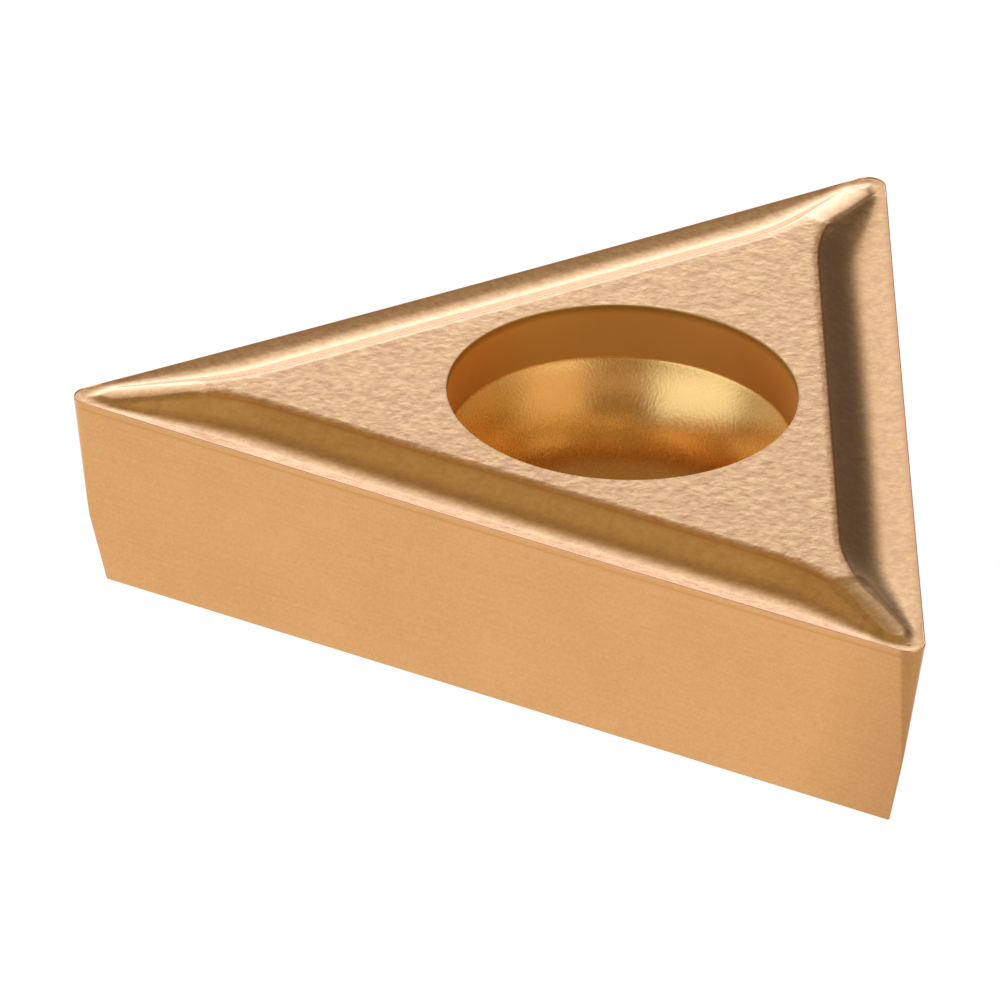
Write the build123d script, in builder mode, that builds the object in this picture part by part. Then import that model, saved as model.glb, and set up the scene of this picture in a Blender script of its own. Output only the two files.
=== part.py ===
from build123d import *
import os
from math import asin, atan2, cos, hypot, radians, sin, tan

# A one-sided triangular turning insert, ground on all three flanks and held by one screw.
# It lies on its seat face. The origin is on the axis of the screw hole, at the seat face.
# One cutting edge runs along X at -Y, and the opposite nose points along +Y.

# Driving dimensions, in millimetres and degrees
inscribed_circle = 6.35  # touches the three cutting edges
thickness = 2.38  # seat face to the cutting edge at a nose
clearance_angle = 7.0  # each flank leans in towards the seat face
nose_radius = 0.2  # measured at the cutting edge
edge_sag = 0.025  # a cutting edge is this much lower half way along

plateau_rise = 0.146  # plateau above the cutting edge
groove_width = 0.87  # cutting edge to plateau, along the straight run
rake_angle = 15.0  # from the cutting edge down into the groove
wall_angle = 28.0  # from the groove up to the plateau
floor_radius = 0.565  # between rake face and wall
pinch_start = 2.4  # sharp corner to where the groove begins to narrow
pinch_radius = 2.7  # curve of the plateau's outline there, seen from above
waist_width = 0.435  # the groove at its narrowest, beside the tongue
waist_run = 0.27  # from there to where the nose begins
nose_groove_width = 0.51  # it opens again to this, round the tongue's tip

tongue_length = 1.29  # plateau's end to the centre of the nose
dent_depth = 0.03  # between the plateau's end and the tongue
dent_run = 0.07  # plateau's end to the bottom of the dent
tongue_crest_run = 0.32  # plateau's end to the tongue's highest place
tongue_crest_drop = 0.012  # that place below the plateau
tongue_slope = 7.2  # down from there towards the nose

bore_diameter = 2.8
recess_diameter = 3.94  # at the plateau
recess_depth = 0.67
recess_draft = 1.5
seat_angle = 45.0  # slope of the screw's seat below the recess
seat_curve = 1.85  # radius on which the seat runs into the bore

clear = 0.3  # how far a cutting shape stands out of the material

# Places and slopes that follow from them
corner_angle = 30.0  # half of the triangle's corner
edge_distance = inscribed_circle / 2
half_edge = edge_distance / tan(radians(corner_angle))
nose_distance = (edge_distance - nose_radius) / sin(radians(corner_angle))
nose_start = nose_radius / tan(radians(corner_angle))  # sharp corner to the nose's arc
plateau_height = thickness + plateau_rise
plateau_reach = nose_distance - tongue_length
clearance_slope = tan(radians(clearance_angle))
rake_slope = tan(radians(rake_angle))
wall_slope = tan(radians(wall_angle))

# Towards a nose the plateau's outline leaves its straight run on an arc, and goes on
# straight to the groove's waist
waist_start = nose_start + waist_run
pinch_run = pinch_start - waist_start
pinch_drop = groove_width - waist_width
pinch_turn = asin(pinch_radius / hypot(pinch_run, pinch_radius - pinch_drop)) - atan2(
    pinch_radius - pinch_drop, pinch_run
)
pinch_end = pinch_start - pinch_radius * sin(pinch_turn)


def groove_reach(distance):
    """Width of the groove at a distance along the edge from the sharp corner."""
    if distance <= waist_start:
        opening = (waist_start - distance) / waist_run
        return waist_width + opening * (nose_groove_width - waist_width)
    if distance <= pinch_end:
        return waist_width + (distance - waist_start) * tan(pinch_turn)
    run = max(pinch_start - distance, 0)
    return groove_width - pinch_radius + (pinch_radius**2 - run**2) ** 0.5


def edge_drop(distance):
    """How far the cutting edge has dropped at a distance from the sharp corner."""
    middle = (half_edge - distance) / (half_edge - nose_start)
    return edge_sag * (1 - middle**2)


def groove_profile(plane, width, drop):
    """Cross-section of what the groove removes: X inwards from the edge, Y upwards.

    The rake face runs down from the edge, and the wall runs up through the plateau's rim.
    """
    rise = plateau_rise + drop
    floor_inset = (width * wall_slope - rise) / (rake_slope + wall_slope)
    full_inset = (groove_width * wall_slope - plateau_rise) / (rake_slope + wall_slope)
    reach = groove_width + clear
    wall_end = rise + (reach - width) * wall_slope
    with BuildSketch(plane) as profile:
        with BuildLine():
            FilletPolyline(
                (0, 0),
                (floor_inset, -floor_inset * rake_slope),
                (reach, wall_end),
                radius=floor_radius * floor_inset / full_inset,
            )
            Polyline(
                (reach, wall_end),
                (reach, wall_end + clear),
                (-clear, wall_end + clear),
                (-clear, 0),
                (0, 0),
            )
        make_face()
    return profile.sketch


def edge_plane(position):
    """Plane square to the cutting edge at -Y, at a position along it from its middle."""
    drop = edge_drop(half_edge - abs(position))
    edge_point = (position, -edge_distance, thickness - drop)
    return Plane(origin=edge_point, x_dir=(0, 1, 0), z_dir=(1, 0, 0))


def groove_section(position):
    """What the groove removes at that plane."""
    distance = half_edge - abs(position)
    width = groove_reach(distance)
    return groove_profile(edge_plane(position), width, edge_drop(distance))


# Everything that one groove removes: along the edge at -Y, and round the nose at its +X end.
# It goes run by run, so that a change of width in one run leaves the others as they are.
with BuildPart() as groove:
    straight_end = half_edge - pinch_start
    loft([groove_section(position) for position in (-straight_end, 0, straight_end)])
    pinch_middle = (pinch_end + pinch_start) / 2
    pinch = (pinch_start, pinch_middle, pinch_end)
    for run in (pinch, (pinch_end, waist_start), (waist_start, nose_start)):
        for side in (-1, 1):
            loft([groove_section(side * (half_edge - distance)) for distance in run])
    nose_position = half_edge - nose_start
    with BuildSketch(edge_plane(nose_position)):
        add(groove_profile(Plane.XY, nose_groove_width, 0))
        with Locations((nose_radius, 0)):
            Rectangle(
                2 * inscribed_circle,
                2 * inscribed_circle,
                align=(Align.MIN, Align.CENTER),
                mode=Mode.SUBTRACT,
            )
    nose_axis = Axis((nose_position, nose_radius - edge_distance, thickness), (0, 0, 1))
    revolve(axis=nose_axis, revolution_arc=120)

# The plateau stops short of each nose at a small dent, and from there a tongue slopes on
# down to the nose
with BuildPart() as tongue_relief:
    crest_reach = plateau_reach + tongue_crest_run
    crest_height = plateau_height - tongue_crest_drop
    slope_run = nose_distance - crest_reach
    slope_end = crest_height - slope_run * tan(radians(tongue_slope))
    with BuildSketch(Plane.XZ):
        Polygon(
            (plateau_reach, plateau_height),
            (plateau_reach + dent_run, plateau_height - dent_depth),
            (crest_reach, crest_height),
            (nose_distance, slope_end),
            (nose_distance, plateau_height + clear),
            (plateau_reach, plateau_height + clear),
            align=None,
        )
    extrude(amount=groove_width, both=True)

# Screw hole: a straight bore, a seat that opens out of it on an arc, and a shallow recess.
# The arc is no larger than the seat and the bore leave room for.
with BuildPart() as screw_hole:
    bore_radius = bore_diameter / 2
    recess_radius = recess_diameter / 2
    seat_radius = recess_radius - recess_depth * tan(radians(recess_draft))
    recess_floor = plateau_height - recess_depth
    seat_slant = (seat_radius - bore_radius) / sin(radians(seat_angle))
    seat_foot = recess_floor - seat_slant * cos(radians(seat_angle))
    seat_bend = min(seat_curve * tan(radians(seat_angle / 2)), seat_slant, seat_foot)
    with BuildSketch(Plane.XZ):
        with BuildLine():
            FilletPolyline(
                (bore_radius, -clear),
                (bore_radius, seat_foot),
                (seat_radius, recess_floor),
                radius=seat_bend / tan(radians(seat_angle / 2)),
            )
            Polyline(
                (seat_radius, recess_floor),
                (recess_radius, plateau_height),
                (recess_radius, plateau_height + clear),
                (0, plateau_height + clear),
                (0, -clear),
                (bore_radius, -clear),
            )
        make_face()
    revolve(axis=Axis.Z)

with BuildPart() as insert:
    # Three flanks that lean in from the cutting edges, meeting in sharp corners
    with BuildSketch():
        RegularPolygon(edge_distance, 3, major_radius=False, rotation=90, align=None)
    extrude(amount=plateau_height)
    draft(
        insert.faces().filter_by(Axis.Z, reverse=True),
        neutral_plane=Plane.XY.offset(thickness),
        angle=-clearance_angle,
    )

    # Each nose is part of a cone whose radius shrinks with depth. It ends in the corner, or
    # at the seat face if that comes first.
    nose_foot_radius = max(nose_radius - thickness * clearance_slope, 0)
    nose_depth = (nose_radius - nose_foot_radius) / clearance_slope
    nose_height = nose_depth + plateau_rise
    nose_top_radius = nose_radius + plateau_rise * clearance_slope
    with PolarLocations(nose_distance, 3, start_angle=90):
        with Locations((0, 0, thickness - nose_depth)):
            Cylinder(
                radius=nose_top_radius / sin(radians(corner_angle)),
                height=nose_height,
                arc_size=120,
                rotation=(0, 0, -60),
                align=None,
                mode=Mode.SUBTRACT,
            )
            Cone(
                bottom_radius=nose_foot_radius,
                top_radius=nose_top_radius,
                height=nose_height,
                arc_size=120,
                rotation=(0, 0, -60),
                align=None,
            )

    for edge_turn in (0, 120, 240):
        with Locations(Rotation(0, 0, edge_turn)):
            add(groove.part, mode=Mode.SUBTRACT)
    for nose_turn in (90, 210, 330):
        with Locations(Rotation(0, 0, nose_turn)):
            add(tongue_relief.part, mode=Mode.SUBTRACT)
    add(screw_hole.part, mode=Mode.SUBTRACT)

insert.part.label = "insert"
os.makedirs("parts", exist_ok=True)
export_step(insert.part, "parts/insert.step")
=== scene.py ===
"""A triangular carbide turning insert, lying on its seat face on a white table."""

import math

import bpy
import numpy as np
from mathutils import Matrix


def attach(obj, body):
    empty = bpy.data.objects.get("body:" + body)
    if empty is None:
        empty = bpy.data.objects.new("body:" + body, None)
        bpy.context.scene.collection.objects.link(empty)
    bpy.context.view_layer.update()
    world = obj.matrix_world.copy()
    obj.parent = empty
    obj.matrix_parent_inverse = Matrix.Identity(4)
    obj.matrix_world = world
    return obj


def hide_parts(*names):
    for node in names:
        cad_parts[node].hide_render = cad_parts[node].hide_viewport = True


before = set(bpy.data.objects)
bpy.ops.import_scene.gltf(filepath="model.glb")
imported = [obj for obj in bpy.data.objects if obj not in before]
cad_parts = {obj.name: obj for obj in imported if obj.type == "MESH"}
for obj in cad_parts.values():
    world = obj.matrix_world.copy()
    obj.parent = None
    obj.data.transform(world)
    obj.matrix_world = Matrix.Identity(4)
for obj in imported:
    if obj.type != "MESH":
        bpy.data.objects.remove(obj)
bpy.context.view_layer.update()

MM = 0.001

# The insert, in millimetres: the dimensions of its solid
EDGE_REACH = 3.175  # axis to each cutting edge
THICKNESS = 2.38  # seat face to the cutting edge at a nose
CLEARANCE = math.tan(math.radians(7.0))  # each flank leans in towards the seat face
NOSE_RADIUS = 0.2  # at the cutting edge
EDGE_SAG = 0.025  # a cutting edge is this much lower half way along
PLATEAU_RISE = 0.146  # plateau above the cutting edge
PLATEAU = THICKNESS + PLATEAU_RISE
GROOVE_WIDTH = 0.87  # cutting edge to plateau, along the straight run
WALL_SLOPE = math.tan(math.radians(28.0))  # from the groove up to the plateau
PINCH_START = 2.4  # sharp corner to where the groove begins to narrow
PINCH_RADIUS = 2.7  # curve of the plateau's outline there
WAIST_WIDTH = 0.435  # the groove at its narrowest, beside the tongue
WAIST_RUN = 0.27  # from there to where the nose begins
NOSE_GROOVE_WIDTH = 0.51  # it opens again to this, round the tongue's tip
NOSE_OPENING = 1.5  # power on which it opens there: 1 would be straight
TONGUE_START = 4.66  # axis to the plateau's end
BORE_RADIUS = 1.4
RECESS_RADIUS = 1.97  # at the plateau
RECESS_DEPTH = 0.67
RECESS_DRAFT = math.tan(math.radians(1.5))
SEAT_ANGLE = math.radians(45.0)  # slope of the screw's seat below the recess
SEAT_CURVE = 1.85  # radius on which the seat runs into the bore

# The rake face is hollow: its slope at the cutting edge and where the groove's floor begins
EDGE_SLOPE = math.tan(math.radians(11.5))
RAKE_SLOPE = math.tan(math.radians(9.0))
RAKE_RUN = 0.2

# Height of the tongue over the plateau, by distance from the axis
TONGUE_RUN = [3.0, 4.65, 4.7, 4.76, 4.98, 5.3, 5.6, 5.75, 5.9, 6.6]
TONGUE_RISE = [0.0, 0.0, -0.014, -0.021, -0.044, -0.081, -0.115, -0.131, -0.139, -0.139]
TONGUE_STEPS = 1800
TONGUE_BLUR = 8  # steps over which its corners are rounded
CROWN_BEND = 0.6  # its top also drops to each side, by this times the distance squared
CROWN_REACH = 0.15  # up to this distance from its middle line
CROWN_RUN = 0.2  # and the drop sets in over this run from the plateau's end

# Roundings that the grinding, the pressing and the coating leave
HONE = 0.01  # the cutting edge
HONE_END_SLOPE = math.tan(math.radians(15.0))
RIM_SOFTNESS = 0.064  # the plateau's rim
RIDGE_SOFTNESS = 0.03  # the tongue's sides, and the ridge where two grooves meet
RIDGE_START = 4.6  # axis to where the rim's rounding begins to turn into the ridge's
RIDGE_RUN = 0.6  # and the run that this takes
RIDGE_TAPER = 0.07  # a ridge is no softer than this share of its inset
LEAST_SOFTNESS = 1e-6  # keeps smooth_min from dividing by zero
MOUTH_ROUND = 0.012  # the screw hole's mouth
SEAT_BREAK = 0.06  # from the recess to the seat
BORE_BREAK = 0.02  # from the bore to the seat face
CORNER_ROUND = 0.014  # the upright corner below each nose
BOTTOM_ROUND = 0.01  # round the seat face

ROOT3 = math.sqrt(3.0)
HALF_EDGE = EDGE_REACH * ROOT3
NOSE_START = NOSE_RADIUS * ROOT3  # sharp corner to the nose's arc
CORNER = math.radians(60.0)

# What the finishes follow: how wide each place is that has its own colour or grain, or a painted
# shade
# The rim's mark is a painted shade: a dark red-brown line along the plateau's rim, this wide
PAINTED_RIM_SHADE = 0.05
PAINTED_RIM_SHADE_SHIFT = 0.008  # on the groove's side of the rim
EDGE_MARK = 0.055
EDGE_MARK_DEPTH = 0.03
LINE_DEPTH = 0.088  # a faint line on the flank, below the cutting edge
LINE_WIDTH = 0.016
MOUTH_MARK = 0.016
MOUTH_MARK_DEPTH = 0.06
RECESS_FADE = 0.04
TONGUE_FADE = 0.12
RIM_FADE = 0.03
RAKE_MARK = 0.45
RAKE_FADE = 0.2
TOP_MARGIN = 0.004  # the top begins this far inside the flank
TOP_DEPTH = 0.2  # and is never lower than this below the cutting edge

# Rows and columns of the mesh
MITRE_START = 1.645  # sharp corner to where the strips along two edges part
NOSE_COLUMNS = 76  # from the nose's arc to there
FAR_COLUMNS = 65  # from there to the middle of the edge
FAR_CROWDING = 0.45  # how much closer together they begin: 0 would be evenly spaced
MITRE_COLUMN = NOSE_COLUMNS - 1
ARC_COLUMNS = 14  # round half a nose
GROOVE_COUNTS = (5, 16, 5, 10, 4)  # rows on the rake face, floor, wall, rim and plateau
GROOVE_CROWDING = 1.15  # by the nose they crowd to the edge: 1 would be evenly spaced
GROOVE_CHANGE = (0.95, 1.35)  # sharp corner to where that changes over
FLOOR_MARGIN = 0.06  # cutting edge to the floor's rows, and by this much more
FLOOR_START = 0.09  # where the groove has its full width
FLOOR_STOP = 0.3  # from the floor's rows to the rim, as a share of the width
RIM_MARGIN = 0.03  # the rim's rows keep this far from the mitre
RIM_BAND = (0.03, 0.025)  # close rows this far to each side of the rim
HONE_BAND = 0.01  # one close row on the flank, this far below the hone
SAG_DEPTH = 1.0  # the rows on the flank are level from this far down
HONE_STEPS = 7
BREAK_STEPS = 4
MOUTH_STEPS = 6
SEAT_STEPS = 34
SEAT_GAP = 0.01  # the seat's first row is at least this far below its break
FLANK_LEVELS = [0.05, 0.068, 0.08, 0.09, 0.1, 0.115, 0.15, 0.3]
FLANK_LEVELS += [0.65, 1.05, 1.35, 1.55, 1.7, 2.0, 2.3, 2.345]
RECESS_SHARES = (0.03, 0.15, 0.5, 0.85, 0.97)
BORE_LEVELS = (0.4, 0.22, 0.08)
PLATEAU_SHARES = [0.0, 0.01, 0.04, *np.linspace(0.1, 0.92, 18), 0.97, 0.99, 1.0]
SEAT_STRIP_SHARES = (0.0, 0.04, 0.5, 1.0)
SEAT_RING_SHARES = (0.0, 0.5, 0.95, 1.0)


def ease(value, low, high):
    """A smooth rise from 0 at low to 1 at high."""
    share = np.clip((value - low) / (high - low), 0.0, 1.0)
    return share * share * (3 - 2 * share)


def smooth_min(a, b, softness):
    """The lower of two heights, with the crease between them rounded."""
    blend = np.clip(0.5 + 0.5 * (b - a) / softness, 0.0, 1.0)
    return b + (a - b) * blend - softness * blend * (1.0 - blend)


def rounded_corner(corner, before, after, radius, steps):
    """Points of a fillet on the corner between two straight runs, both ends included."""
    corner, before, after = (np.array(point, float) for point in (corner, before, after))
    into = (before - corner) / np.linalg.norm(before - corner)
    out = (after - corner) / np.linalg.norm(after - corner)
    half = math.acos(np.clip(into @ out, -1, 1)) / 2
    middle = (into + out) / np.linalg.norm(into + out)
    centre = corner + middle * radius / math.sin(half)
    first = corner + into * radius / math.tan(half) - centre
    last = corner + out * radius / math.tan(half) - centre
    sweep = math.pi - 2 * half
    points = []
    for step in range(steps + 1):
        share = step / steps
        spoke = first * math.sin((1 - share) * sweep) + last * math.sin(share * sweep)
        points.append(centre + spoke / math.sin(sweep))
    return points


# The top: grooves, plateau and tongues


def groove_reach(distance):
    """Width of the groove at a distance along the edge from the sharp corner."""
    waist = NOSE_START + WAIST_RUN
    run = PINCH_START - waist
    rest = PINCH_RADIUS - (GROOVE_WIDTH - WAIST_WIDTH)
    turn = math.asin(PINCH_RADIUS / math.hypot(run, rest)) - math.atan2(rest, run)
    straight_end = PINCH_START - PINCH_RADIUS * math.sin(turn)
    opening = np.clip((waist - distance) / WAIST_RUN, 0.0, 1.0)
    by_nose = WAIST_WIDTH + opening**NOSE_OPENING * (NOSE_GROOVE_WIDTH - WAIST_WIDTH)
    straight = WAIST_WIDTH + np.maximum(distance - waist, 0.0) * math.tan(turn)
    inside = np.clip(PINCH_START - distance, 0.0, PINCH_RADIUS)
    curved = GROOVE_WIDTH - PINCH_RADIUS + np.sqrt(PINCH_RADIUS**2 - inside**2)
    past_waist = np.where(distance <= straight_end, straight, curved)
    return np.where(distance <= waist, by_nose, past_waist)


def edge_drop(distance):
    """How far the cutting edge has dropped at that distance."""
    middle = (HALF_EDGE - distance) / (HALF_EDGE - NOSE_START)
    return EDGE_SAG * (1.0 - np.clip(middle, 0.0, 1.0) ** 2)


def groove_height(inset, width, drop):
    """Height of the rake face, the groove's floor and its wall, over the seat face.

    The floor's slope turns evenly from that of the rake face into that of the wall.
    """
    rise = PLATEAU_RISE + drop
    room = width * WALL_SLOPE - rise
    rake_end = RAKE_RUN * room / (GROOVE_WIDTH * WALL_SLOPE - PLATEAU_RISE)
    wall_start = room - rake_end * (EDGE_SLOPE + WALL_SLOPE) / 2
    wall_start = wall_start / ((WALL_SLOPE + RAKE_SLOPE) / 2)
    hollow = (EDGE_SLOPE - RAKE_SLOPE) * inset**2 / (2 * rake_end)
    rake_face = -EDGE_SLOPE * inset + hollow
    past = inset - rake_end
    bend = (WALL_SLOPE + RAKE_SLOPE) / (wall_start - rake_end)
    floor = -(EDGE_SLOPE + RAKE_SLOPE) / 2 * rake_end - RAKE_SLOPE * past + bend * past**2 / 2
    wall = rise - (width - inset) * WALL_SLOPE
    shape = np.where(inset < wall_start, floor, wall)
    return THICKNESS - drop + np.where(inset < rake_end, rake_face, shape)


tongue_places = np.linspace(TONGUE_RUN[0], TONGUE_RUN[-1], TONGUE_STEPS + 1)
blur_reach = 5 * TONGUE_BLUR
tongue_blur = np.exp(-0.5 * (np.arange(-blur_reach, blur_reach + 1) / TONGUE_BLUR) ** 2)
tongue_heights = np.convolve(
    np.pad(np.interp(tongue_places, TONGUE_RUN, TONGUE_RISE), blur_reach, mode="edge"),
    tongue_blur / tongue_blur.sum(),
    mode="valid",
)


def top_parts(distance, inset):
    """The two grooves that meet at a place, and the plateau and tongue between them."""
    reach = np.hypot(distance, inset)
    turn = CORNER - np.arctan2(inset, distance)
    other_distance, other_inset = reach * np.cos(turn), reach * np.sin(turn)
    one = groove_height(inset, groove_reach(distance), edge_drop(distance))
    other = groove_height(
        other_inset, groove_reach(other_distance), edge_drop(other_distance)
    )
    along = 2 * EDGE_REACH - reach * np.cos(CORNER / 2 - turn)
    aside = np.abs(reach * np.sin(CORNER / 2 - turn))
    crown = CROWN_BEND * np.minimum(aside, CROWN_REACH) ** 2
    crown = crown * np.clip((along - TONGUE_START) / CROWN_RUN, 0.0, 1.0)
    flat = PLATEAU + np.interp(along, tongue_places, tongue_heights) - crown
    return one, other, flat, along


def top_height(distance, inset):
    """Height of the top at a place, by distance along the edge and inset from it."""
    one, other, flat, along = top_parts(distance, inset)
    slender = np.clip((along - RIDGE_START) / RIDGE_RUN, 0.0, 1.0)
    ridge_softness = np.minimum(RIDGE_SOFTNESS, RIDGE_TAPER * inset) + LEAST_SOFTNESS
    ridge = smooth_min(one, other, ridge_softness)
    rim_softness = RIM_SOFTNESS + (RIDGE_SOFTNESS - RIM_SOFTNESS) * slender
    return smooth_min(ridge, flat, rim_softness)


# One sixth of the insert, from the middle of an edge to a nose


def sixth_columns():
    """Distances from the sharp corner along half an edge, closest together by the nose."""
    near = np.linspace(NOSE_START, MITRE_START, NOSE_COLUMNS)
    share = np.linspace(0.0, 1.0, FAR_COLUMNS + 1)[1:]
    share = (1 - FAR_CROWDING) * share + FAR_CROWDING * share**2
    far = MITRE_START + (HALF_EDGE - MITRE_START) * share
    return np.concatenate([near, far])


columns = sixth_columns()
nose_turns = np.radians(np.linspace(60.0, 0.0, ARC_COLUMNS + 1))[:-1]


def place(distance, inset, height):
    """Points in the row frame, for the edge at -Y and the nose at its +X end."""
    distance, inset, height = np.broadcast_arrays(distance, inset, height)
    return np.stack([HALF_EDGE - distance, inset - EDGE_REACH, height], axis=-1)


def hone_profile():
    """The cutting edge in section: (inset, height) from the flank round to the rake face."""
    flank, rake = (CLEARANCE, -1.0), (1.0, -HONE_END_SLOPE)
    return rounded_corner((0.0, 0.0), flank, rake, HONE, HONE_STEPS)


def flank_row(level, lean):
    """One row round the nose and flank, at a depth below the nose's cutting edge."""
    radius = np.maximum(NOSE_RADIUS - lean, CORNER_ROUND)
    centre = (lean + radius) * ROOT3
    shrink = (HALF_EDGE - centre[ARC_COLUMNS:]) / (HALF_EDGE - NOSE_START)
    distance = HALF_EDGE - (HALF_EDGE - columns) * shrink
    radius, centre = radius[:ARC_COLUMNS], centre[:ARC_COLUMNS]
    arc_distance = centre - radius * np.sin(nose_turns)
    arc_inset = lean[:ARC_COLUMNS] + radius * (1.0 - np.cos(nose_turns))
    return place(
        np.concatenate([arc_distance, distance]),
        np.concatenate([arc_inset, lean[ARC_COLUMNS:]]),
        THICKNESS - level,
    )


def flank_patch():
    """The ground flank and nose, from the hone down to the seat face's edge."""
    start = -hone_profile()[0][1]
    drop = np.concatenate([np.zeros(ARC_COLUMNS), edge_drop(columns)])
    rows = []
    for depth in [start, start + HONE_BAND] + FLANK_LEVELS:
        sagging = np.clip((SAG_DEPTH - depth) / (SAG_DEPTH - start), 0.0, 1.0)
        level = depth + drop * sagging
        rows.append(flank_row(level, level * CLEARANCE))
    foot = (THICKNESS * CLEARANCE, 0.0)
    up_flank, along_seat = (0.0, THICKNESS), (THICKNESS, 0.0)
    for inset, height in rounded_corner(foot, up_flank, along_seat, BOTTOM_ROUND, BREAK_STEPS):
        level = np.full(len(drop), THICKNESS - height)
        rows.append(flank_row(level, np.full(len(drop), inset)))
    return np.array(rows)


def groove_rows(distance):
    """Insets of the rows across the groove at one column, from the hone to the mitre.

    By the nose they fill the room there is. Along the edge they follow the groove, and are
    close together on the plateau's rim.
    """
    hone_end = hone_profile()[-1][0]
    limit = min(distance, MITRE_START) / ROOT3
    shares = np.linspace(0.0, 1.0, sum(GROOVE_COUNTS) + 1) ** GROOVE_CROWDING
    even = hone_end + (limit - hone_end) * shares
    width = float(groove_reach(np.array(distance)))
    rim = min(width, limit - RIM_MARGIN)
    floor_start = FLOOR_MARGIN + FLOOR_START * width / GROOVE_WIDTH
    floor_stop = rim - FLOOR_STOP * width
    stops = [hone_end, floor_start, floor_stop, rim - RIM_BAND[0], rim + RIM_BAND[1], limit]
    fitted = [hone_end]
    for start, stop, count in zip(stops, stops[1:], GROOVE_COUNTS):
        fitted.extend(np.linspace(start, stop, count + 1)[1:])
    share = ease(distance, *GROOVE_CHANGE)
    return even * (1 - share) + np.array(fitted) * share


def strip_row(nose_inset, inset, nose_height, height):
    """One row of the top, round the nose and on along the edge."""
    radius = NOSE_RADIUS - nose_inset
    return place(
        np.concatenate([NOSE_START - radius * np.sin(nose_turns), columns]),
        np.concatenate([NOSE_RADIUS - radius * np.cos(nose_turns), inset]),
        np.concatenate([np.full(ARC_COLUMNS, nose_height), height]),
    )


def edge_strip_patch():
    """The hone, rake face, groove and rim, from the cutting edge in to the mitre."""
    drop = edge_drop(columns)
    rows = []
    for inset, height in hone_profile():
        level = THICKNESS + height
        rows.append(strip_row(inset, inset + drop * CLEARANCE, level, level - drop))
    insets = np.array([groove_rows(distance) for distance in columns]).T
    for row in insets[1:]:
        nose_height = top_height(NOSE_START, row[0])
        rows.append(strip_row(row[0], row, nose_height, top_height(columns, row)))
    return np.array(rows)


def hole_profile():
    """The screw hole in section: (radius, height) from the plateau down to the seat face."""
    seat_radius = RECESS_RADIUS - RECESS_DEPTH * RECESS_DRAFT
    recess_floor = PLATEAU - RECESS_DEPTH
    seat_foot = recess_floor - (seat_radius - BORE_RADIUS) / math.tan(SEAT_ANGLE)
    bore_top = seat_foot - SEAT_CURVE * math.tan(SEAT_ANGLE / 2)
    centre = BORE_RADIUS + SEAT_CURVE
    rim, shoulder = (RECESS_RADIUS, PLATEAU), (seat_radius, recess_floor)
    along_plateau = (RECESS_RADIUS + 1, PLATEAU)
    down_seat = (seat_radius - 1, recess_floor - math.tan(SEAT_ANGLE))
    mouth = rounded_corner(rim, along_plateau, shoulder, MOUTH_ROUND, MOUTH_STEPS)
    step = rounded_corner(shoulder, rim, down_seat, SEAT_BREAK, MOUTH_STEPS)
    wall = [mouth[-1] + (step[0] - mouth[-1]) * share for share in RECESS_SHARES]
    seat = []
    for turn in np.linspace(SEAT_ANGLE, 0.0, SEAT_STEPS):
        height = bore_top + SEAT_CURVE * math.sin(turn)
        if height < step[-1][1] - SEAT_GAP:
            seat.append((centre - SEAT_CURVE * math.cos(turn), height))
    bore = [(BORE_RADIUS, height) for height in BORE_LEVELS]
    up_bore, along_seat_face = (BORE_RADIUS, 1.0), (BORE_RADIUS + 1.0, 0.0)
    foot = rounded_corner(
        (BORE_RADIUS, 0.0), up_bore, along_seat_face, BORE_BREAK, BREAK_STEPS
    )
    return mouth + wall + step + seat + bore + foot


def ring_row(turn, radius, height):
    """Points round the axis at those turns."""
    height = np.broadcast_to(height, turn.shape)
    return np.stack([radius * np.cos(turn), radius * np.sin(turn), height], -1)


def top_ring_patch(strip):
    """The plateau between the edge strips and the mouth of the screw hole."""
    outer = strip[-1, ARC_COLUMNS + MITRE_COLUMN :]
    turn = np.arctan2(outer[:, 1], outer[:, 0])
    reach, level = np.hypot(outer[:, 0], outer[:, 1]), outer[:, 2]
    mouth_radius, mouth_height = hole_profile()[0]
    rows = []
    for share in PLATEAU_SHARES:
        radius = reach + (mouth_radius - reach) * share
        rows.append(ring_row(turn, radius, level + (mouth_height - level) * share))
    return np.array(rows)


def hole_patch(ring):
    """The mouth, recess, seat and bore of the screw hole."""
    turn = np.arctan2(ring[-1, :, 1], ring[-1, :, 0])
    rows = [ring_row(turn, radius, height) for radius, height in hole_profile()[1:]]
    return np.array([ring[-1]] + rows)


def seat_face_patches(flank, hole):
    """The ground seat face: the strips to the mitre, and the ring to the bore."""
    arc, edge = flank[-1, :ARC_COLUMNS], flank[-1, ARC_COLUMNS:]
    distance, inset = HALF_EDGE - edge[:, 0], edge[:, 1] + EDGE_REACH
    mitre = np.minimum(distance, distance[MITRE_COLUMN]) / ROOT3
    nose_mitre = place(distance[0], mitre[0], 0.0)
    strip = []
    for share in SEAT_STRIP_SHARES:
        along_edge = place(distance, inset + (mitre - inset) * share, 0.0)
        strip.append(np.concatenate([arc + (nose_mitre - arc) * share, along_edge]))
    strip = np.array(strip)
    outer = strip[-1, ARC_COLUMNS + MITRE_COLUMN :]
    ring = np.array([outer + (hole[-1] - outer) * share for share in SEAT_RING_SHARES])
    return strip, ring


# The whole insert


def bell(value, width):
    """1 at 0, and fading over about that width to both sides."""
    return np.exp(-((value / width) ** 2))


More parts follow.
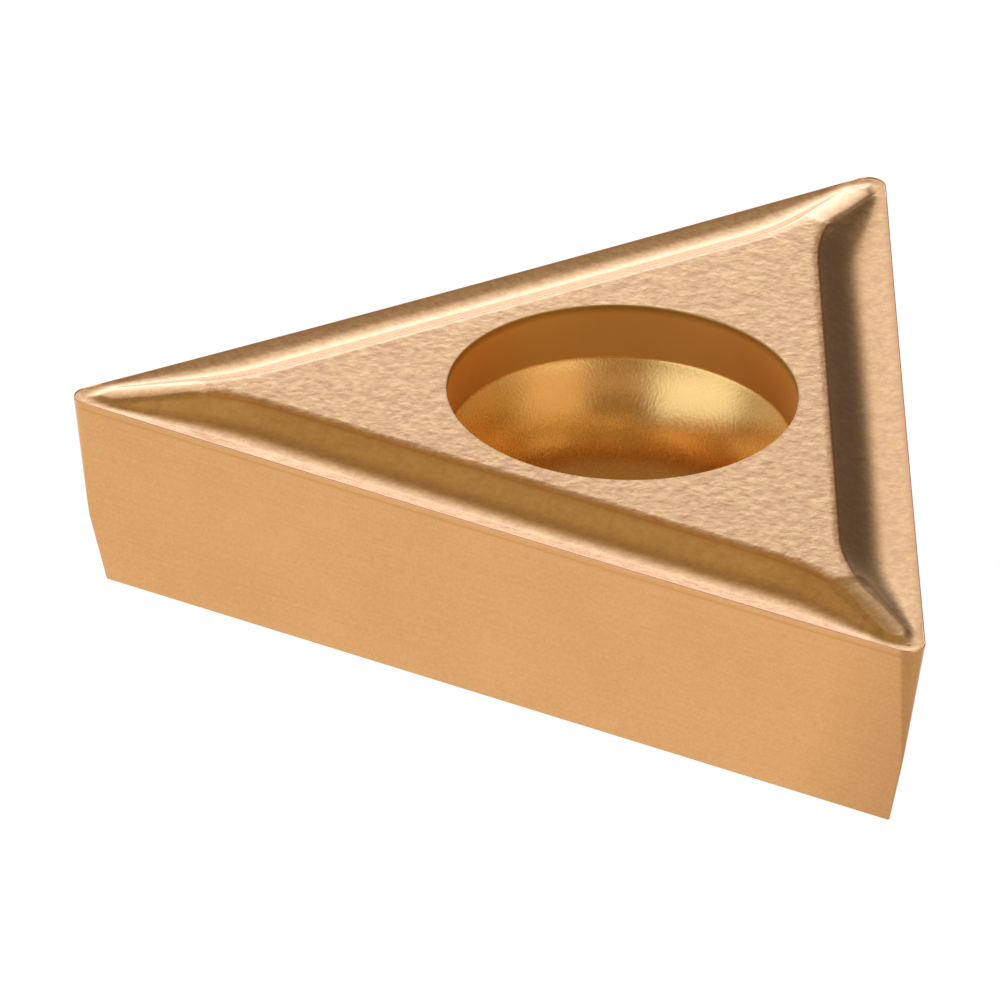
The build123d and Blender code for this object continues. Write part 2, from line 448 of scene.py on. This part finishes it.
def nearest_edge(points):
    """Inset from the nearest cutting edge, and distance along it from the sharp corner."""
    insets, distances = [], []
    for turn in (0, 120, 240):
        outward = math.radians(turn - 90)
        away = points[:, 0] * math.cos(outward) + points[:, 1] * math.sin(outward)
        along = points[:, 1] * math.cos(outward) - points[:, 0] * math.sin(outward)
        insets.append(EDGE_REACH - away)
        distances.append(HALF_EDGE - np.abs(along))
    insets, distances = np.array(insets), np.array(distances)
    nearest = insets.argmin(axis=0)[None]
    inset = np.take_along_axis(insets, nearest, 0)[0]
    return inset, np.take_along_axis(distances, nearest, 0)[0]


def surface_marks(points):
    """Where the finish changes, near the cutting edge and the mouth, and where a painted shade
    lies along the plateau's rim.
    """
    inset, distance = nearest_edge(points)
    height = points[:, 2]
    depth = THICKNESS - edge_drop(distance) - height
    one, other, flat, along = top_parts(distance, inset)
    past_rim = (np.minimum(one, other) - flat) / WALL_SLOPE
    past_mouth = np.hypot(points[:, 0], points[:, 1]) - RECESS_RADIUS
    on_top = (inset > depth * CLEARANCE + TOP_MARGIN) & (depth < TOP_DEPTH)
    plateau = np.clip(past_rim / RIM_FADE + 0.8, 0, 1)
    tongue = np.clip((along - TONGUE_START) / TONGUE_FADE, 0, 1)
    rake = np.clip((RAKE_MARK - inset) / RAKE_FADE, 0, 1) * (1 - plateau)
    return {
        # a painted shade along the plateau's rim, fainter on the tongue
        "rim": on_top * bell(past_rim + PAINTED_RIM_SHADE_SHIFT, PAINTED_RIM_SHADE) * (1 - 0.9 * tongue),
        "edge": bell(inset, EDGE_MARK) * bell(depth, EDGE_MARK_DEPTH),
        "below_edge": np.where(on_top, 0.0, bell(depth - LINE_DEPTH, LINE_WIDTH)),
        "recess": np.clip((height - PLATEAU + RECESS_DEPTH) / RECESS_FADE, 0, 1),
        "mouth": bell(past_mouth, MOUTH_MARK) * (height > PLATEAU - MOUTH_MARK_DEPTH),
        "grit": (0.12 + 0.88 * plateau * (1 - 0.95 * tongue) + 0.1 * rake) * on_top,
        "grain": (0.25 + 0.75 * plateau * (1 - 0.7 * tongue) + 0.45 * rake) * on_top,
    }


GROUND_FLANK, SINTERED_TOP, SCREW_SEAT, SEAT_FACE = range(4)
WELD_GRID = 1e5  # steps in a millimetre


def sixth_patches():
    """Grids of points over one sixth, each with its finish."""
    flank, strip = flank_patch(), edge_strip_patch()
    flank[0] = strip[0]
    ring = top_ring_patch(strip)
    hole = hole_patch(ring)
    seat_strip, seat_ring = seat_face_patches(flank, hole)
    return [
        (flank[::-1], GROUND_FLANK),
        (strip, SINTERED_TOP),
        (ring, SINTERED_TOP),
        (hole, SCREW_SEAT),
        (seat_strip[::-1], SEAT_FACE),
        (seat_ring[::-1], SEAT_FACE),
    ]


def all_sixths():
    """Points, quads and finishes of all six sixths, not yet welded."""
    patches = sixth_patches()
    points, quads, finishes = [], [], []
    count = 0
    for turn in (0, 120, 240):
        cos, sin = math.cos(math.radians(turn)), math.sin(math.radians(turn))
        spin = np.array([[cos, -sin, 0], [sin, cos, 0], [0, 0, 1]])
        for side in (1, -1):
            for patch, finish in patches:
                rows, across = patch.shape[:2]
                index = np.arange(rows * across).reshape(rows, across) + count
                a, b = index[:-1, :-1].ravel(), index[:-1, 1:].ravel()
                c, d = index[1:, 1:].ravel(), index[1:, :-1].ravel()
                quads.append(np.stack((a, d, c, b) if side > 0 else (a, b, c, d), -1))
                finishes.append(np.full(len(a), finish))
                points.append(patch.reshape(-1, 3) * (side, 1, 1) @ spin.T)
                count += rows * across
    return np.concatenate(points), np.concatenate(quads), np.concatenate(finishes)


def weld(points, quads, finishes):
    """One skin: points that round to the same step of the grid become one."""
    keys = np.round(points * WELD_GRID).astype(np.int64)
    _, first, welded = np.unique(keys, axis=0, return_index=True, return_inverse=True)
    faces, face_finishes = [], []
    for quad, finish in zip(welded.reshape(-1)[quads].tolist(), finishes.tolist()):
        corners = [corner for n, corner in enumerate(quad) if corner != quad[n - 1]]
        if len(set(corners)) >= 3:
            faces.append(corners)
            face_finishes.append(finish)
    return points[first], faces, face_finishes


def insert_mesh():
    """The insert's closed skin, with its finishes and marks."""
    points, faces, finishes = weld(*all_sixths())
    mesh = bpy.data.meshes.new("insert_body")
    mesh.from_pydata((points * MM).tolist(), [], faces)
    mesh.polygons.foreach_set("material_index", finishes)
    mesh.polygons.foreach_set("use_smooth", [True] * len(faces))
    mesh.update()
    for name, values in surface_marks(points).items():
        mark = mesh.attributes.new(name, "FLOAT", "POINT")
        mark.data.foreach_set("value", values.astype(np.float32))
    return mesh


body = bpy.data.objects.new("insert_body", insert_mesh())
bpy.context.scene.collection.objects.link(body)
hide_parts("insert")
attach(body, "root")


# Finishes


class Number:
    """A shader socket that carries one number, so that shader sums read as sums."""

    def __init__(self, finish, socket):
        self.finish = finish
        self.socket = socket

    def _with(self, operation, first, second):
        sockets = {0: first, 1: second}
        made = self.finish.node("ShaderNodeMath", {"operation": operation}, sockets)
        return Number(self.finish, made.outputs[0])

    def __add__(self, other):
        return self._with("ADD", self, other)

    def __sub__(self, other):
        return self._with("SUBTRACT", self, other)

    def __rsub__(self, other):
        return self._with("SUBTRACT", other, self)

    def __mul__(self, other):
        return self._with("MULTIPLY", self, other)

    def __pow__(self, other):
        return self._with("POWER", self, other)

    def at_least(self, other):
        return self._with("MAXIMUM", self, other)

    def angle_from(self, other):
        """Angle of a direction from the other axis towards this one, in radians."""
        return self._with("ARCTAN2", self, other)


class Finish:
    """The nodes of one procedural material, or of the world."""

    def __init__(self, owner):
        owner.use_nodes = True
        self.owner = owner
        self.tree = owner.node_tree
        self.tree.nodes.clear()

    def node(self, kind, settings=None, sockets=None):
        made = self.tree.nodes.new(kind)
        for name, value in (settings or {}).items():
            setattr(made, name, value)
        for name, value in (sockets or {}).items():
            if isinstance(value, Number):
                value = value.socket
            if isinstance(value, bpy.types.NodeSocket):
                self.tree.links.new(value, made.inputs[name])
            else:
                made.inputs[name].default_value = value
        return made

    def number(self, made, output):
        """One output of a node, as a number."""
        return Number(self, made.outputs[output])

    def place(self, stretch=(1.0, 1.0, 1.0)):
        """Position on the insert in millimetres, stretched along each axis."""
        where = self.node("ShaderNodeTexCoord").outputs["Object"]
        sockets = {0: where, 1: tuple(share / MM for share in stretch)}
        return self.node("ShaderNodeVectorMath", {"operation": "MULTIPLY"}, sockets).outputs[0]

    def noise(self, where, scale, detail, roughness):
        sockets = {"Vector": where, "Scale": scale, "Detail": detail, "Roughness": roughness}
        return self.number(self.node("ShaderNodeTexNoise", {}, sockets), "Fac")

    def spread(self, value, low, high, to_low=0.0, to_high=1.0):
        """The value, taken from one range to another and held at its ends."""
        sockets = {
            "Value": value,
            "From Min": low,
            "From Max": high,
            "To Min": to_low,
            "To Max": to_high,
        }
        return self.number(self.node("ShaderNodeMapRange", {}, sockets), "Result")

    def colour(self, share, first, second):
        """A mix of two colours."""
        first, second = (
            (*shade, 1.0) if isinstance(shade, tuple) else shade for shade in (first, second)
        )
        sockets = {0: share, 6: first, 7: second}
        return self.node("ShaderNodeMix", {"data_type": "RGBA"}, sockets).outputs[2]

    def mark(self, name):
        """One of the marks that the mesh carries, from 0 to 1."""
        return self.number(self.node("ShaderNodeAttribute", {"attribute_name": name}), "Fac")

    def bump(self, height, depth):
        """Relief in the skin, with its full depth in millimetres."""
        sockets = {"Height": height, "Distance": depth * MM}
        return self.node("ShaderNodeBump", {}, sockets).outputs["Normal"]

    def metal(self, colour, roughness, normal):
        sockets = {
            "Base Color": colour,
            "Metallic": 1.0,
            "Roughness": roughness,
            "Normal": normal,
        }
        self.output(self.node("ShaderNodeBsdfPrincipled", {}, sockets))

    def output(self, shader, kind="ShaderNodeOutputMaterial"):
        self.node(kind, {}, {"Surface": shader.outputs[0]})


def ground_flank():
    """Coating over a ground flank: a fine grain, with faint streaks along the edge."""
    finish = Finish(bpy.data.materials.new("ground_flank"))
    where = finish.place()
    streaks = finish.noise(finish.place((0.5, 0.5, 30.0)), scale=1.0, detail=3.0, roughness=0.6)
    grain = finish.noise(where, scale=26.0, detail=3.0, roughness=0.6)
    cloud = finish.noise(where, scale=1.1, detail=2.0, roughness=0.5)
    height = streaks * 0.25 + grain * 0.75
    shade = finish.spread(height * 0.8 + cloud * 0.2, 0.38, 0.62)
    colour = finish.colour(shade, (0.64, 0.33, 0.125), (0.72, 0.39, 0.165))
    colour = finish.colour(finish.mark("below_edge") * 0.8, colour, (0.58, 0.28, 0.08))
    colour = finish.colour(finish.mark("edge") * 0.4, colour, (0.70, 0.36, 0.18))
    roughness = finish.spread(grain, 0.3, 0.7, 0.17, 0.25)
    finish.metal(colour, roughness, finish.bump(height, 0.0022))
    return finish.owner


def sintered_top():
    """Coating over the pressed and sintered top: pebbled on the plateau, finer in the groove."""
    finish = Finish(bpy.data.materials.new("sintered_top"))
    where = finish.place()
    grit = finish.mark("grit")
    pebbles = finish.noise(where, scale=7.0, detail=2.0, roughness=0.5)
    fine = finish.noise(where, scale=18.0, detail=3.0, roughness=0.6)
    cloud = finish.noise(where, scale=8.0, detail=4.0, roughness=0.7)
    height = (pebbles * 0.85 + fine * 0.15) * grit
    # Colour follows a random cloud and, in part, the relief of the pebbles and fine grain: cream
    # where they stand higher, pinker lower down. This is its own tone plus a painted highlight
    # and shade on the grains.
    shade = finish.spread(pebbles * 0.2 + cloud * 0.45 + fine * 0.35, 0.42, 0.58)
    rough = finish.colour(shade, (0.72, 0.43, 0.25), (0.91, 0.615, 0.335))
    smooth = finish.colour(shade, (0.77, 0.455, 0.225), (0.84, 0.50, 0.25))
    colour = finish.colour(finish.mark("grain"), smooth, rough)
    # A painted shade: a dark red-brown line along the plateau's rim
    colour = finish.colour(finish.mark("rim") * 0.6, colour, (0.70, 0.30, 0.11))
    colour = finish.colour(finish.mark("edge") * 0.7, colour, (0.64, 0.31, 0.165))
    colour = finish.colour(finish.mark("mouth") * 0.8, colour, (0.42, 0.27, 0.10))
    roughness = finish.spread(fine, 0.3, 0.7, 0.13, 0.17) + grit * 0.15
    finish.metal(colour, roughness, finish.bump(height, 0.012))
    return finish.owner


def screw_seat():
    """Coating inside the screw hole: a satin skin, duller and paler in the recess."""
    finish = Finish(bpy.data.materials.new("screw_seat"))
    grain = finish.noise(finish.place((1.0, 1.0, 0.5)), scale=30.0, detail=2.0, roughness=0.55)
    cloud = finish.noise(finish.place(), scale=6.0, detail=2.0, roughness=0.5)
    recess = finish.mark("recess")
    shade = finish.spread(grain * 0.6 + cloud * 0.4, 0.36, 0.64)
    colour = finish.colour(shade, (0.82, 0.53, 0.215), (0.88, 0.575, 0.245))
    colour = finish.colour(recess, colour, (0.93, 0.65, 0.285))
    colour = finish.colour(finish.mark("mouth") * 0.7, colour, (0.40, 0.24, 0.07))
    roughness = finish.spread(grain, 0.3, 0.7, 0.24, 0.3) + recess * 0.16
    finish.metal(colour, roughness, finish.bump(grain, 0.0022))
    return finish.owner


def seat_face():
    """Coating over the ground seat face: straight grinding lines."""
    finish = Finish(bpy.data.materials.new("seat_face"))
    lines = finish.noise(finish.place((0.4, 26.0, 1.0)), scale=1.0, detail=4.0, roughness=0.6)
    shade = finish.spread(lines, 0.35, 0.65)
    colour = finish.colour(shade, (0.68, 0.37, 0.15), (0.75, 0.41, 0.17))
    roughness = finish.spread(lines, 0.3, 0.7, 0.2, 0.28)
    finish.metal(colour, roughness, finish.bump(lines, 0.0015))
    return finish.owner


for coating in (ground_flank, sintered_top, screw_seat, seat_face):
    body.data.materials.append(coating())


# The studio

TABLE_HALF = 0.6
TABLE_LEVEL = -0.00001  # just below the seat face
TABLE_GLOW = 1.07
TABLE_WHITE = 0.93  # share of its glow that the camera sees: the rest keeps the shadow
BORE_DISC = (1.36, 1.46)  # its glow turns from brown, a painted shade, to white here, in millimetres
TENT_RADIUS = 0.35
TENT_COLUMNS, TENT_ROWS = 144, 45
TENT_FOOT = -2  # elevation of the tent's lowest row

# Panels of the light tent, each laid over the ones before: azimuths from +Y towards +X,
# elevations, colour and softness in degrees
TENT_CLOTH = (0.52, 0.45, 0.34)
TENT_PANELS = [
    ((-180, 180), (46, 100), (0.43, 0.325, 0.15), 7),  # warm roof
    ((-180, 180), (82, 100), (0.22, 0.165, 0.06), 4),  # its dark middle
    ((-120, -60), (66, 86), (0.52, 0.42, 0.22), 6),  # its brighter left side
    ((-64, -34), (47, 60), (0.33, 0.25, 0.12), 5),  # a seam in it
    ((-26, 25), (33, 72), (0.355, 0.30, 0.21), 4),  # its grey back
    ((40, 115), (54, 78), (1.7, 1.6, 1.45), 8),  # its lit right side
    ((-160, -56), (-20, 18), (0.95, 0.9, 0.8), 10),  # low white card at the left
    ((124, 178), (-20, 64), (0.27, 0.155, 0.045), 8),  # brown cloth in front
    ((124, 178), (34, 52), (0.52, 0.36, 0.22), 7),  # its lit middle
    ((-60, -14), (-20, 37), (1.02, 1.02, 1.02), 9),  # white backdrop behind, to the left
    ((-60, -20), (-20, 20), (1.85, 1.85, 2.05), 8),  # its lit foot
    ((-14, 26), (-20, 33), (0.12, 0.105, 0.09), 9),  # dark card behind, to the right
    ((30, 72), (-20, 40), (0.52, 0.31, 0.10), 8),  # brown cloth beside it
    ((-182, -116), (19, 54), (1.25, 1.32, 1.3), 7),  # softbox in front, to the left
    ((74, 123), (10, 52), (0.9, 0.62, 0.37), 7),  # warm softbox at the right
]


def stage_mesh(name, vertices, faces, material):
    mesh = bpy.data.meshes.new(name)
    mesh.from_pydata(vertices, [], faces)
    mesh.materials.append(material)
    made = bpy.data.objects.new(name, mesh)
    bpy.context.scene.collection.objects.link(made)
    return made


def table_paper():
    """White paper: it shows white, keeps a light shadow, and glows in reflections.

    The glow is brown under the screw hole, a painted shade there. It is weaker beside the
    insert, a painted shadow and a painted dark reflection, and stronger behind it, a painted
    highlight.
    """
    finish = Finish(bpy.data.materials.new("white_table"))
    rays = finish.node("ShaderNodeLightPath")
    camera = finish.number(rays, "Is Camera Ray")
    glossy = finish.number(rays, "Is Glossy Ray")
    parts = finish.node("ShaderNodeSeparateXYZ", {}, {"Vector": finish.place()})
    x, y = finish.number(parts, "X"), finish.number(parts, "Y")
    away = (x * x + y * y) ** 0.5
    turned = x.angle_from(y)
    # Painted light in the glow: a painted shade under the screw hole, a painted highlight behind
    # to the left, a painted dark reflection of the card behind to the right, and a painted
    # shadow to the right
    past_bore = finish.spread(away, *BORE_DISC)
    behind = finish.spread(turned, -0.28, -0.5) * finish.spread(turned, -1.5, -1.2)
    behind = behind * finish.spread(away, 5.0, 14.0)
    painted_card_reflection = finish.spread(turned, -0.44, -0.2) * finish.spread(turned, 1.2, 1.0)
    shaded = finish.spread(x * 0.98 - y * 0.2, 4.2, 6.2) * finish.spread(x, 14.0, 7.0)
    glow = past_bore * (1.0 - shaded * 0.5) * (1.0 - painted_card_reflection * 0.8)
    shade = finish.colour(camera.at_least(glow), (0.30, 0.18, 0.07), (1.0, 1.0, 1.0))
    shade = finish.colour(glossy * behind, shade, (1.75, 1.75, 1.75))
    paper = finish.node("ShaderNodeBsdfDiffuse", {}, {"Color": (0.86, 0.86, 0.86, 1.0)})
    white = finish.node("ShaderNodeEmission", {}, {"Color": shade, "Strength": TABLE_GLOW})
    sockets = {0: camera * TABLE_WHITE + glossy, 1: paper.outputs[0], 2: white.outputs[0]}
    front = finish.node("ShaderNodeMixShader", {}, sockets)
    back = finish.node("ShaderNodeNewGeometry").outputs["Backfacing"]
    clear = finish.node("ShaderNodeBsdfTransparent")
    sockets = {0: back, 1: front.outputs[0], 2: clear.outputs[0]}
    finish.output(finish.node("ShaderNodeMixShader", {}, sockets))
    return finish.owner


def panel_share(azimuth, elevation, across, up, soft):
    """How much of a soft-edged panel of the tent shows at each direction."""
    middle, half = (across[0] + across[1]) / 2, (across[1] - across[0]) / 2
    turn = (azimuth - middle + 180) % 360 - 180
    inside = ease(half - np.abs(turn), -soft, soft)
    return inside * ease(elevation - up[0], -soft, soft) * ease(up[1] - elevation, -soft, soft)


def light_tent():
    """A tent of cloth, cards and softboxes round the insert, unseen by the camera."""
    elevation, azimuth = np.meshgrid(
        np.linspace(TENT_FOOT, 90, TENT_ROWS + 1),
        np.linspace(-180, 180, TENT_COLUMNS + 1),
        indexing="ij",
    )
    e, a = np.radians(elevation), np.radians(azimuth)
    direction = np.stack([np.cos(e) * np.sin(a), np.cos(e) * np.cos(a), np.sin(e)], -1)
    shade = np.full(direction.shape, TENT_CLOTH)
    for azimuths, elevations, colour, soft in TENT_PANELS:
        share = panel_share(azimuth, elevation, azimuths, elevations, soft)
        shade = shade + (np.array(colour) - shade) * share[..., None]
    glow = np.concatenate([shade, np.ones(azimuth.shape + (1,))], -1)
    index = np.arange(azimuth.size).reshape(azimuth.shape)
    faces = np.stack([index[:-1, :-1], index[:-1, 1:], index[1:, 1:], index[1:, :-1]], -1)
    vertices = (TENT_RADIUS * direction).reshape(-1, 3).tolist()
    finish = Finish(bpy.data.materials.new("light_tent"))
    colour = finish.node("ShaderNodeAttribute", {"attribute_name": "glow"}).outputs["Color"]
    finish.output(finish.node("ShaderNodeEmission", {}, {"Color": colour}))
    tent = stage_mesh("light_tent", vertices, faces.reshape(-1, 4).tolist(), finish.owner)
    attribute = tent.data.attributes.new("glow", "FLOAT_COLOR", "POINT")
    attribute.data.foreach_set("color", glow.ravel().astype(np.float32))
    tent.visible_camera = False


def white_room():
    """The world: white where it is seen, and half as bright where it only lights."""
    world = bpy.data.worlds.new("white_room")
    bpy.context.scene.world = world
    finish = Finish(world)
    rays = finish.node("ShaderNodeLightPath")
    camera, glossy, through = (
        finish.number(rays, f"Is {kind} Ray") for kind in ("Camera", "Glossy", "Transmission")
    )
    strength = camera.at_least(glossy.at_least(through)) * 0.5 + 0.5
    sockets = {"Color": (1.0, 1.0, 1.0, 1.0), "Strength": strength}
    sky = finish.node("ShaderNodeBackground", {}, sockets)
    finish.output(sky, "ShaderNodeOutputWorld")


table_corners = [(-1, -1), (1, -1), (1, 1), (-1, 1)]
stage_mesh(
    "white_table",
    [(TABLE_HALF * x, TABLE_HALF * y, TABLE_LEVEL) for x, y in table_corners],
    [(0, 1, 2, 3)],
    table_paper(),
)
light_tent()
white_room()


# The camera, solved on the photo: angles in radians, its place in millimetres

CAMERA_AZIMUTH = 0.492815301
CAMERA_ELEVATION = 0.527099992
CAMERA_ROLL = 0.0292527917
CAMERA_PLACE = (58.4634, -111.6995, 74.4459)
SENSOR_WIDTH = 36.0
FOCAL_SHARE = 12.95755  # focal length over the sensor's width

camera_data = bpy.data.cameras.new("camera")
camera = bpy.data.objects.new("camera", camera_data)
bpy.context.scene.collection.objects.link(camera)
bpy.context.scene.camera = camera
camera_data.sensor_width = SENSOR_WIDTH
camera_data.lens = SENSOR_WIDTH * FOCAL_SHARE
camera_data.clip_start = 0.005
camera_data.clip_end = 20.0
a, e, r = CAMERA_AZIMUTH, CAMERA_ELEVATION, CAMERA_ROLL
back = np.array([math.sin(a) * math.cos(e), -math.cos(a) * math.cos(e), math.sin(e)])
level_right = np.array([math.cos(a), math.sin(a), 0.0])
level_up = np.cross(back, level_right)
right = math.cos(r) * level_right + math.sin(r) * level_up
up = -math.sin(r) * level_right + math.cos(r) * level_up
camera.matrix_world = (
    Matrix.Translation([value * MM for value in CAMERA_PLACE])
    @ Matrix(np.stack([right, up, back], 1).tolist()).to_4x4()
)

scene = bpy.context.scene
scene.view_settings.view_transform = "Standard"
